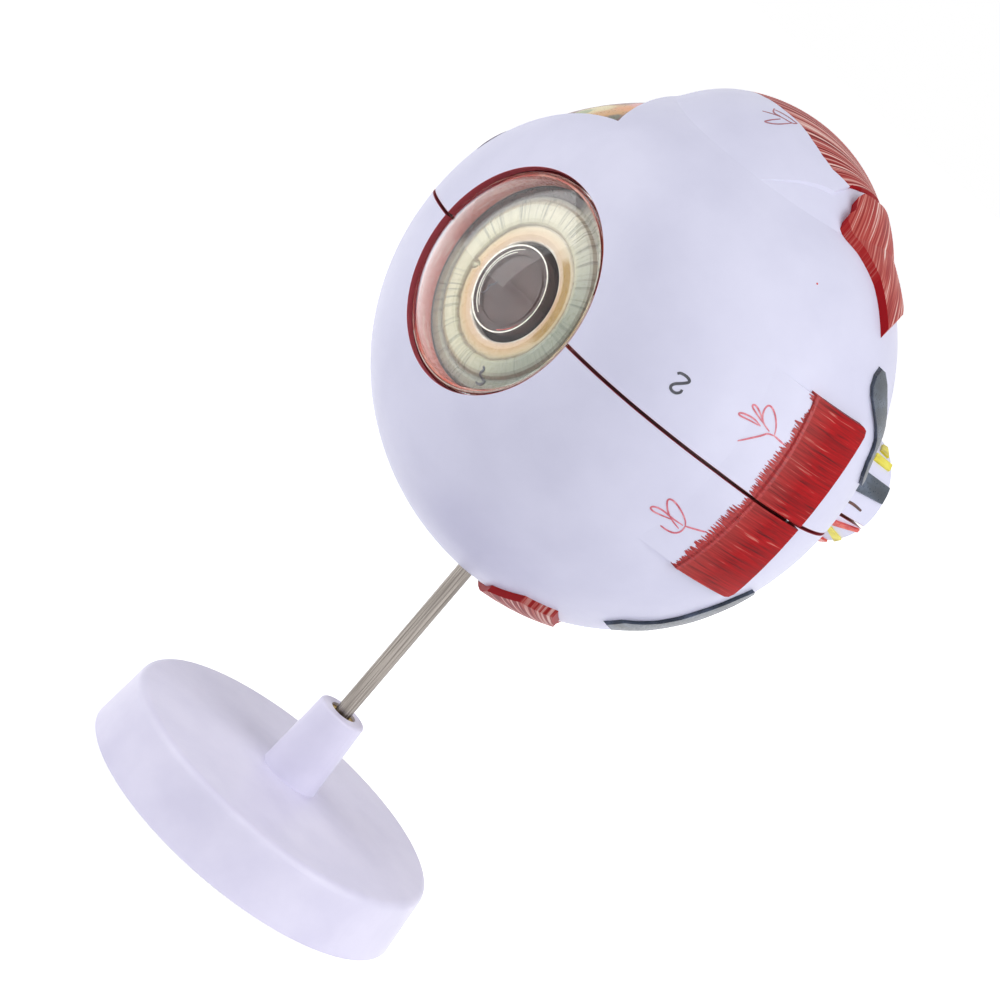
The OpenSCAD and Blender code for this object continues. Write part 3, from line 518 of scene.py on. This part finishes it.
def makeChoroidPaint():
    material, tree, shader = newMaterial("choroidEnamel", Coat_Weight=0.2, Coat_Roughness=0.15)
    place = placeInMm(tree)
    mottle = addNode(tree, "ShaderNodeTexNoise", {"Vector": place, "Scale": 1 / 3, "Detail": 4.0})
    colour = addNode(tree, "ShaderNodeValToRGB", {0: mottle.outputs[0]},
                     stops=((0.35, choroidPaint["deep"]), (0.7, choroidPaint["light"]))).outputs[0]
    forward = addNode(tree, "ShaderNodeSeparateXYZ", {0: place})
    start, end = choroidPaint["lipFront"]
    lip = addNode(tree, "ShaderNodeMapRange", {0: forward.outputs[1], 1: start, 2: end, 3: 0.0, 4: 0.7})
    colour = addNode(tree, "ShaderNodeMix", {0: lip.outputs[0], 6: colour, 7: choroidPaint["lip"]},
                     data_type="RGBA").outputs[2]
    reach = choroidPaint["ragged"]
    for middle, size, tone in choroidPaint["dabs"]:
        away = addNode(tree, "ShaderNodeVectorMath", {0: place, 1: middle}, operation="DISTANCE")
        ragged = addNode(tree, "ShaderNodeMapRange",
                         {0: mottle.outputs[0], 1: 0.3, 2: 0.7, 3: -reach, 4: reach})
        away = addNode(tree, "ShaderNodeMath", {0: away.outputs[1], 1: ragged.outputs[0]}, operation="ADD")
        dab = addNode(tree, "ShaderNodeMapRange",
                      {0: away.outputs[0], 1: size, 2: size * 0.6, 3: 0.0, 4: 1.0})
        colour = addNode(tree, "ShaderNodeMix", {0: dab.outputs[0], 6: colour, 7: tone},
                         data_type="RGBA").outputs[2]
    tree.links.new(colour, shader.inputs["Base Color"])
    addSurface(tree, shader, place, 1.0, 0.015, (0.25, 0.4))
    return material


# retina: orange enamel with a net of fine vessels whose meshes are about 11 mm wide
retinaPaint = {
    "deep": "#c8743a", "light": "#e8ab68", "vessel": "#9c2a20", "mesh": 11, "vesselWidth": 0.035, "bend": 6,
}


def makeRetinaPaint():
    material, tree, shader = newMaterial("retinaEnamel", Coat_Weight=0.2, Coat_Roughness=0.15)
    place = placeInMm(tree)
    mottle = addNode(tree, "ShaderNodeTexNoise", {"Vector": place, "Scale": 1 / 5, "Detail": 5.0})
    colour = addNode(tree, "ShaderNodeValToRGB", {0: mottle.outputs[0]},
                     stops=((0.35, retinaPaint["deep"]), (0.65, retinaPaint["light"])))
    bent = addNode(tree, "ShaderNodeVectorMath",
                   {0: mottle.outputs["Color"], 1: [retinaPaint["bend"]] * 3, 2: place},
                   operation="MULTIPLY_ADD")
    net = addNode(tree, "ShaderNodeTexVoronoi", {"Vector": bent.outputs[0], "Scale": 1 / retinaPaint["mesh"]},
                  feature="DISTANCE_TO_EDGE")
    line = addNode(tree, "ShaderNodeMapRange",
                   {0: net.outputs[0], 1: 0.0, 2: retinaPaint["vesselWidth"], 3: 0.85, 4: 0.0})
    colour = addNode(tree, "ShaderNodeMix",
                     {0: line.outputs[0], 6: colour.outputs[0], 7: retinaPaint["vessel"]}, data_type="RGBA")
    tree.links.new(colour.outputs[2], shader.inputs["Base Color"])
    addSurface(tree, shader, place, 1.2, 0.012, (0.28, 0.42))
    return material


# plastics of the stand, faintly cloudy: two tones, the grain's width and depth in mm, and the roughness
standCloud = 18
standPlastics = {
    "satinABS": ("#e8e5f8", "#dfdcf1", 0.7, 0.012, (0.3, 0.42)),       # satin, with a fine spark-eroded grain
    "plateABS": ("#c9c8d2", "#bdbcc8", 0.6, 0.03, (0.45, 0.6)),        # greyer and more matt
    "blackFoam": ("#3c3c40", "#28282b", 0.9, 0.35, (0.85, 0.97)),      # dull, with open pores
}


def makeStandPlastic(name):
    light, shade, grain, depth, rough = standPlastics[name]
    material, tree, shader = newMaterial(name)
    place = placeInMm(tree)
    cloud = addNode(tree, "ShaderNodeTexNoise", {"Vector": place, "Scale": 1 / standCloud, "Detail": 4.0})
    colour = addNode(tree, "ShaderNodeValToRGB", {0: cloud.outputs[0]}, stops=((0.35, shade), (0.65, light)))
    tree.links.new(colour.outputs[0], shader.inputs["Base Color"])
    addSurface(tree, shader, place, grain, depth, rough)
    return material


# metals: two tones, the size of the marks along x, y and z in mm, the marks' depth and the roughness
metals = {
    "drawnSteel": ("#6c6660", "#9c958e", (0.35, 0.35, 25), 0.003, (0.2, 0.34)),     # lengthwise drawing marks
    "turnedBrass": ("#a08848", "#c6ab62", (6, 6, 0.3), 0.006, (0.24, 0.38)),        # rings from the lathe
    "castIron": ("#55575a", "#7b7d80", (1.6, 1.6, 1.6), 0.12, (0.45, 0.65)),        # grain of the sand mould
    "zincSteel": ("#a6a8ac", "#c4c6ca", (2.5, 2.5, 0.6), 0.006, (0.25, 0.4)),       # bright zinc plate
}


def makeMetal(name):
    dark, light, marks, depth, rough = metals[name]
    material, tree, shader = newMaterial(name, Metallic=1.0)
    place = placeInMm(tree)
    drawn = addNode(tree, "ShaderNodeVectorMath", {0: place, 1: tuple(1 / m for m in marks)},
                    operation="MULTIPLY")
    noise = addNode(tree, "ShaderNodeTexNoise", {"Vector": drawn.outputs[0], "Scale": 1.0, "Detail": 3.0})
    colour = addNode(tree, "ShaderNodeValToRGB", {0: noise.outputs[0]}, stops=((0.35, dark), (0.65, light)))
    tree.links.new(colour.outputs[0], shader.inputs["Base Color"])
    addSurface(tree, shader, drawn.outputs[0], 1, depth, rough)
    return material


# cast acrylic, faintly wavy: two tones, the waves' depth in mm, roughness, refraction and the clear share
acrylicWave = 14
clearPlastics = {
    "corneaAcrylic": ("#fbfcfc", "#f6f9fa", 0.004, 0.0, 1.36, 1.0),        # water-clear
    # the lens's smoky brown, only part clear, is painted shade: it stands for the dim inside of the eye seen
    # through the pupil
    "lensShadeAcrylic": ("#7e5a54", "#6c4a46", 0.01, 0.03, 1.45, 0.7),          # smoky brown in the pupil
    "vitreousAcrylic": ("#f0dcd6", "#e6ccc6", 0.01, 0.03, 1.45, 1.0),      # clear with a breath of pink
}


def makeClearPlastic(name):
    light, shade, depth, rough, ior, clear = clearPlastics[name]
    material, tree, shader = newMaterial(name, Roughness=rough, IOR=ior, Transmission_Weight=clear)
    place = placeInMm(tree)
    wave = addNode(tree, "ShaderNodeTexNoise", {"Vector": place, "Scale": 1 / acrylicWave, "Detail": 2.0})
    colour = addNode(tree, "ShaderNodeValToRGB", {0: wave.outputs[0]}, stops=((0.35, shade), (0.65, light)))
    tree.links.new(colour.outputs[0], shader.inputs["Base Color"])
    bump = addNode(tree, "ShaderNodeBump",
                   {"Height": wave.outputs[0], "Strength": 1.0, "Distance": depth * mm})
    tree.links.new(bump.outputs[0], shader.inputs["Normal"])
    # light passes on to what lies behind, where glass would cast a full shadow
    rays = addNode(tree, "ShaderNodeLightPath", {})
    through = addNode(tree, "ShaderNodeBsdfTransparent", {"Color": light})
    mixed = addNode(tree, "ShaderNodeMixShader",
                    {0: rays.outputs["Is Shadow Ray"], 1: shader.outputs[0], 2: through.outputs[0]})
    tree.links.new(mixed.outputs[0], tree.nodes["Material Output"].inputs["Surface"])
    return material


strokeMaterials = {name: makeStrokePaint(name) for name in strokePaints}
paint(["sclera_lower", "sclera_upper"], makeShellEnamel())
paint(["medial_rectus_upper", "medial_rectus_lower"], makeMusclePaint("sideMuscleEnamel", sideMuscle))
paint(["lateral_rectus_upper", "lateral_rectus_lower"], makeMusclePaint("outerMuscleEnamel", outerMuscle))
paint(["superior_rectus"], makeMusclePaint("upperMuscleEnamel", upperMuscle))
paint(["inferior_rectus"], makeMusclePaint("lowerMuscleEnamel", lowerMuscle))
paint(["superior_oblique"], makeMusclePaint("obliqueMuscleEnamel", obliqueMuscle))
paint(["inferior_oblique"], makeMusclePaint("lowerObliqueEnamel", lowerOblique))
paint(["vortex_veins_upper", "vortex_veins_lower", "ciliary_vein", "central_vein"],
      strokeMaterials["slateEnamel"])
paint(["ciliary_nerves_upper", "ciliary_nerve_lower"], strokeMaterials["yellowEnamel"])
paint(["ciliary_arteries", "central_artery"], strokeMaterials["arteryEnamel"])
paint(["nerve_core"], strokeMaterials["nerveEnamel"])
paint(["optic_disc"], strokeMaterials["discEnamel"])
paint(["zonule_ring"], strokeMaterials["zonulePlastic"])
paint(["ciliary_body"], strokeMaterials["ciliaryEnamel"])
paint(["choroid_lower", "choroid_upper"], makeChoroidPaint())
paint(["retina_lower", "retina_upper"], makeRetinaPaint())
paint(["limbus_ring"], makeLimbusPaint())
paint(["iris"], makeIrisPaint())
paint(["base"], makeStandPlastic("satinABS"))
paint(["base_plate", "rod_socket"], makeStandPlastic("plateABS"))
paint(["foot_pad"], makeStandPlastic("blackFoam"))
paint(["rod"], makeMetal("drawnSteel"))
paint(["rod_sleeve"], makeMetal("turnedBrass"))
paint(["base_weight"], makeMetal("castIron"))
paint(["base_screws", "seam_pins"], makeMetal("zincSteel"))
paint(["cornea"], makeClearPlastic("corneaAcrylic"))
paint(["lens"], makeClearPlastic("lensShadeAcrylic"))
paint(["vitreous_body"], makeClearPlastic("vitreousAcrylic"))
print("finishes ready")


# the surface of some nodes, on which strokes are laid
def makeSurface(*nodeNames):
    shape = bmesh.new()
    for name in nodeNames:
        shape.from_mesh(nodes[name].data)
    tree = BVHTree.FromBMesh(shape)
    shape.free()
    return tree


# a bent line with its corners cut off again and again, until it is round
def smoothLine(points, passes=2):
    line = [Vector(p) for p in points]
    for _ in range(passes):
        cut = [line[0]]
        for first, second in zip(line, line[1:]):
            cut += [first.lerp(second, 0.25), first.lerp(second, 0.75)]
        line = cut + [line[-1]]
    return line


# where each point of a drawing meets the surface, seen along a direction from outside the ball
def layOn(surface, points, towards, outside=150):
    towards = Vector(towards)
    marks = []
    for point in points:
        start = (eyeCentre + point - towards * outside) * mm
        spot, normal, _, _ = surface.ray_cast(start, towards)
        if spot:
            marks.append((spot, normal if normal.dot(towards) < 0 else -normal))
    return marks


# a flat brush stroke: its thin cross-section is carried from mark to mark, with a width in mm at each.
# It reaches from below the surface to above it, both in mm.
def addStroke(shape, marks, widths, lift, below=0.05, thickness=0.07):
    above = thickness + lift
    before = face = None
    for index, (spot, normal) in enumerate(marks):
        ahead = marks[min(index + 1, len(marks) - 1)][0] - marks[max(index - 1, 0)][0]
        side = normal.cross(ahead).normalized()
        ahead = side.cross(normal)
        turn = Matrix((side, normal, ahead)).transposed().to_4x4()
        size = Matrix.Diagonal((widths[index] * mm, (below + above) * mm, 1, 1))
        now = Matrix.Translation(spot + normal * (above - below) / 2 * mm) @ turn @ size
        if before is None:
            made = bmesh.ops.create_grid(shape, x_segments=1, y_segments=1, size=0.5, matrix=now)
            face = made["verts"][0].link_faces[0]
        else:
            grown = bmesh.ops.extrude_face_region(shape, geom=[face])["geom"]
            corners = [g for g in grown if isinstance(g, bmesh.types.BMVert)]
            bmesh.ops.transform(shape, matrix=now @ before.inverted(), verts=corners)
            face = next(g for g in grown if isinstance(g, bmesh.types.BMFace))
        before = now


# widths that swell from a thin tip to the full width and back
def taperedWidths(count, width, tip=0.35):
    return [width * (tip + (1 - tip) * math.sin(math.pi * (i + 0.5) / count) ** 0.5) for i in range(count)]


# closes a set of strokes into one piece that moves with its body
def finishStrokes(name, shape, material, body):
    bmesh.ops.recalc_face_normals(shape, faces=shape.faces)
    mesh = bpy.data.meshes.new(name)
    shape.to_mesh(mesh)
    shape.free()
    piece = bpy.data.objects.new(name, mesh)
    bpy.context.scene.collection.objects.link(piece)
    mesh.materials.append(strokeMaterials[material])
    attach(piece, body)


# drawings: what carries them, the direction they are seen along, the axes that their numbers give, and their
# lines' width. A line is its points in mm, and an arc its radius in mm and its ends in degrees.
drawings = {
    "upperVessels": {
        "nodes": ("sclera_upper",), "towards": (-1, 0, 0), "axes": (1, 2), "width": 0.5,
        "material": "vesselEnamel", "body": "upper_shell", "slot": "artery_red", "lines": (
            ((-19.4, 16.7), (-22.8, 17.0)),
            ((-22.8, 17.0), (-23.4, 18.9), (-24.8, 20.9), (-26.5, 22.2), (-27.7, 22.3), (-28.3, 21.1),
             (-28.0, 19.2), (-26.9, 17.8), (-24.5, 17.1)),
            ((-26.9, 17.8), (-28.4, 19.2), (-30.2, 20.2), (-31.3, 20.0), (-31.3, 19.4), (-29.6, 18.7),
             (-27.1, 17.9)),
            ((-27.1, 16.8), (-29.2, 17.4), (-32.1, 16.9), (-33.5, 16.2), (-33.0, 15.7), (-30.8, 16.2),
             (-27.6, 16.7)),
            ((-22.8, 17.0), (-24.6, 16.5), (-25.5, 15.3), (-27.5, 13.1), (-29.9, 10.4)))},
    "lowerVessels": {
        "nodes": ("sclera_lower",), "towards": (-1, 0, 0), "axes": (1, 2), "width": 0.5,
        "material": "vesselEnamel", "body": "lower_shell", "slot": "artery_red", "lines": (
            ((-20.3, -13.6), (-22.4, -14.5), (-25.1, -15.6)),
            ((-25.1, -15.6), (-26.3, -14.2), (-29.4, -12.6), (-32.1, -11.9), (-33.3, -12.3), (-32.9, -13.4),
             (-31.1, -15.1), (-28.7, -16.4), (-25.7, -17.2)),
            ((-25.6, -15.8), (-28.8, -16.0), (-32.3, -15.7), (-34.3, -16.4), (-34.5, -17.3), (-33.2, -17.6),
             (-31.2, -17.1), (-28.7, -16.4)),
            ((-25.1, -15.6), (-24.6, -17.4), (-25.3, -18.9), (-27.0, -19.5), (-29.1, -19.5)))},
    "topVessels": {
        "nodes": ("sclera_upper",), "towards": (0, 0, -1), "axes": (0, 1), "width": 0.45,
        "material": "mauveEnamel", "body": "upper_shell", "slot": "artery_red", "lines": (
            ((5.7, -21.6), (5.6, -23.1), (2.5, -24.6), (-0.8, -28.0)),
            ((5.6, -23.1), (5.9, -27.5), (4.1, -30.3), (3.7, -28.9), (3.6, -25.3)),
            ((5.7, -21.3), (2.3, -22.5), (-1.0, -24.2)),
            ((2.5, -24.6), (0.4, -25.8), (-1.7, -24.0)))},
    "nerveLine": {
        "nodes": ("sclera_upper",), "towards": (-1, 0, 0), "axes": (1, 2), "width": 0.9,
        "material": "ciliaryEnamel", "body": "upper_shell", "slot": "muscle_red",
        "lines": (((64.7, 5.2), (69, 5.6), (74.4, 5.0)),)},
    "irisMarks": {
        "nodes": ("iris",), "towards": (0, 1, 0), "axes": (0, 2), "width": 0.75, "material": "markingInk",
        "body": "iris_piece", "slot": "ciliary_brown", "lift": 0.15, "lines": (
            ((9.2, -20.4), (10.4, -20.9), (9.6, -22.4), (10.6, -23.2), (12.2, -23.2), (12.1, -24.2),
             (10.9, -24.9), (10.1, -24.8)),)},
    # painted highlights: a whitish ring on the lens tip's lit rim and arcs on its steps at the left
    "tipRimHighlight": {
        "nodes": ("lens",), "towards": (0, 1, 0), "axes": (0, 2), "width": 0.42, "material": "zonulePlastic",
        "body": "lens_piece", "slot": "zonule_white",
        "arcs": ((12.3, 0, 360), (11.3, 118, 250), (10.5, 130, 240))},
    # a painted highlight: a white arc along the cornea's edge where it catches the light
    "corneaEdgeHighlight": {
        "nodes": ("cornea",), "towards": (0, 1, 0), "axes": (0, 2), "width": 0.45,
        "material": "zonulePlastic", "body": "cornea_piece", "slot": "cornea_clear",
        "arcs": ((31.0, -118, 28),)},
    # a painted reflection: a red arc on the lens tip, as of the orange retina behind
    "tipRedReflection": {
        "nodes": ("lens",), "towards": (0, 1, 0), "axes": (0, 2), "width": 0.4, "material": "arteryEnamel",
        "body": "lens_piece", "slot": "artery_red", "arcs": ((11.4, -62, -18),)},
    "lensMark": {
        "nodes": ("lens",), "towards": (0, 1, 0), "axes": (0, 2), "width": 0.4, "material": "markingInk",
        "body": "lens_piece", "slot": "ciliary_brown", "lines": (
            ((-7.6, -7.4), (-6.8, -5.6), (-7.8, -4.9), (-6.2, -3.4), (-6.0, -2.2)),)},
}


def makeDrawing(name, arcSteps=40):
    drawing = drawings[name]
    surface = makeSurface(*drawing["nodes"])
    shape = bmesh.new()
    lines = list(drawing.get("lines", ()))
    for radius, start, end in drawing.get("arcs", ()):
        turns = [math.radians(start + (end - start) * step / arcSteps) for step in range(arcSteps + 1)]
        drop = irisDrop if drawing["body"] == "lens_piece" else 0
        lines.append([(radius * math.cos(turn), radius * math.sin(turn) - drop) for turn in turns])
    for number, line in enumerate(lines):
        points = []
        for pair in line:
            point = Vector((0, 0, 0))
            point[drawing["axes"][0]], point[drawing["axes"][1]] = pair
            points.append(point)
        marks = layOn(surface, smoothLine(points), drawing["towards"])
        addStroke(shape, marks, taperedWidths(len(marks), drawing["width"]),
                  drawing.get("lift", 0.01 * number))
    finishStrokes(name, shape, drawing["material"], drawing["body"])


# the digit and the red dot on the upper shell; the digit's corners are in mm right and up from its middle
digit = {
    "middle": Vector((56.2, -48.1, 12.7)), "width": 0.78,
    "corners": ((-2.0, 1.6), (-1.5, 2.3), (0.6, 2.6), (2.0, 2.0), (0.6, 0.5), (-1.1, -0.9), (-1.4, -2.1),
                (-0.4, -2.7), (0.9, -2.5), (1.7, -1.5), (1.5, -0.8)),
    "dot": Vector((48.3, -23, 52.5)), "dotRadius": 0.32, "dotHeight": 0.2, "dotTaper": 0.8, "dotSides": 24,
}


def makeDigit():
    surface = makeSurface("sclera_upper")
    outward = digit["middle"].normalized()
    right = Vector((0, 0, 1)).cross(outward).normalized()
    up = outward.cross(right)
    points = [digit["middle"] + right * x + up * y for x, y in digit["corners"]]
    shape = bmesh.new()
    marks = layOn(surface, smoothLine(points), -outward)
    addStroke(shape, marks, taperedWidths(len(marks), digit["width"], 0.8), 0)
    finishStrokes("shellDigit", shape, "markingInk", "upper_shell")

    outward = digit["dot"].normalized()
    (spot, normal), = layOn(surface, [digit["dot"]], -outward)
    shape = bmesh.new()
    turn = normal.to_track_quat("Z", "Y").to_matrix().to_4x4()
    bmesh.ops.create_cone(shape, cap_ends=True, segments=digit["dotSides"], radius1=digit["dotRadius"] * mm,
                          radius2=digit["dotRadius"] * digit["dotTaper"] * mm, depth=digit["dotHeight"] * mm,
                          matrix=Matrix.Translation(spot) @ turn)
    finishStrokes("shellDot", shape, "arteryEnamel", "upper_shell")


# ragged front of the nasal muscle: short strokes from its edge onto the white. Their ends follow (y, z).
# The other sizes are in mm too, and the spreads are the least and the most of a random draw.
fringe = {
    "start": -16.4, "spacing": 0.36, "width": 0.66, "material": "fringeEnamel", "points": 9, "shortest": 0.5,
    "endSpread": (-0.7, 0.5), "slantSpread": (-0.4, 0.4), "widthSpread": (0.7, 1.25), "liftSpread": (0, 0.05),
    "spacingSpread": (0.8, 1.3), "seed": 7,
    "halves": (("lowerFringe", "lower", "lower_shell", -26.3, 0.2),
               ("upperFringe", "upper", "upper_shell", 1.7, 31.0)),
    "ends": ((-17.4, -26.8), (-19.2, -21.6), (-19.9, -14.7), (-20.1, -10.3), (-20.8, -4.5), (-18.8, -1.6),
             (-19.4, 2.7), (-20.3, 5.8), (-20.0, 13.4), (-18.8, 19.3), (-19.3, 23.1), (-17.1, 27.9),
             (-18.7, 30.4), (-18.5, 31.5)),
}


# how far forward the muscle's paint reaches at a height
def fringeEnd(height):
    for (y0, z0), (y1, z1) in zip(fringe["ends"], fringe["ends"][1:]):
        if z0 <= height <= z1:
            return y0 + (y1 - y0) * (height - z0) / (z1 - z0)
    return fringe["start"]


def makeFringe():
    dice = random.Random(fringe["seed"])
    start, last = fringe["start"], fringe["points"] - 1
    for name, half, body, low, high in fringe["halves"]:
        surface = makeSurface(f"sclera_{half}", f"medial_rectus_{half}")
        shape = bmesh.new()
        height = low
        while height < high:
            end = fringeEnd(height) + dice.uniform(*fringe["endSpread"])
            slant = dice.uniform(*fringe["slantSpread"])
            if end < start - fringe["shortest"]:
                points = [Vector((0, start + (end - start) * step / last,
                                  min(max(height + slant * step / last, low), high)))
                          for step in range(last + 1)]
                marks = layOn(surface, points, (-1, 0, 0))
                width = fringe["width"] * dice.uniform(*fringe["widthSpread"])
                widths = [width * min(1, 0.25 + 1.6 * (1 - step / last)) for step in range(last + 1)]
                addStroke(shape, marks, widths, dice.uniform(*fringe["liftSpread"]))
            height += fringe["spacing"] * dice.uniform(*fringe["spacingSpread"])
        finishStrokes(name, shape, fringe["material"], body)


for name in drawings:
    makeDrawing(name)
makeDigit()
makeFringe()
print("strokes and digits ready")
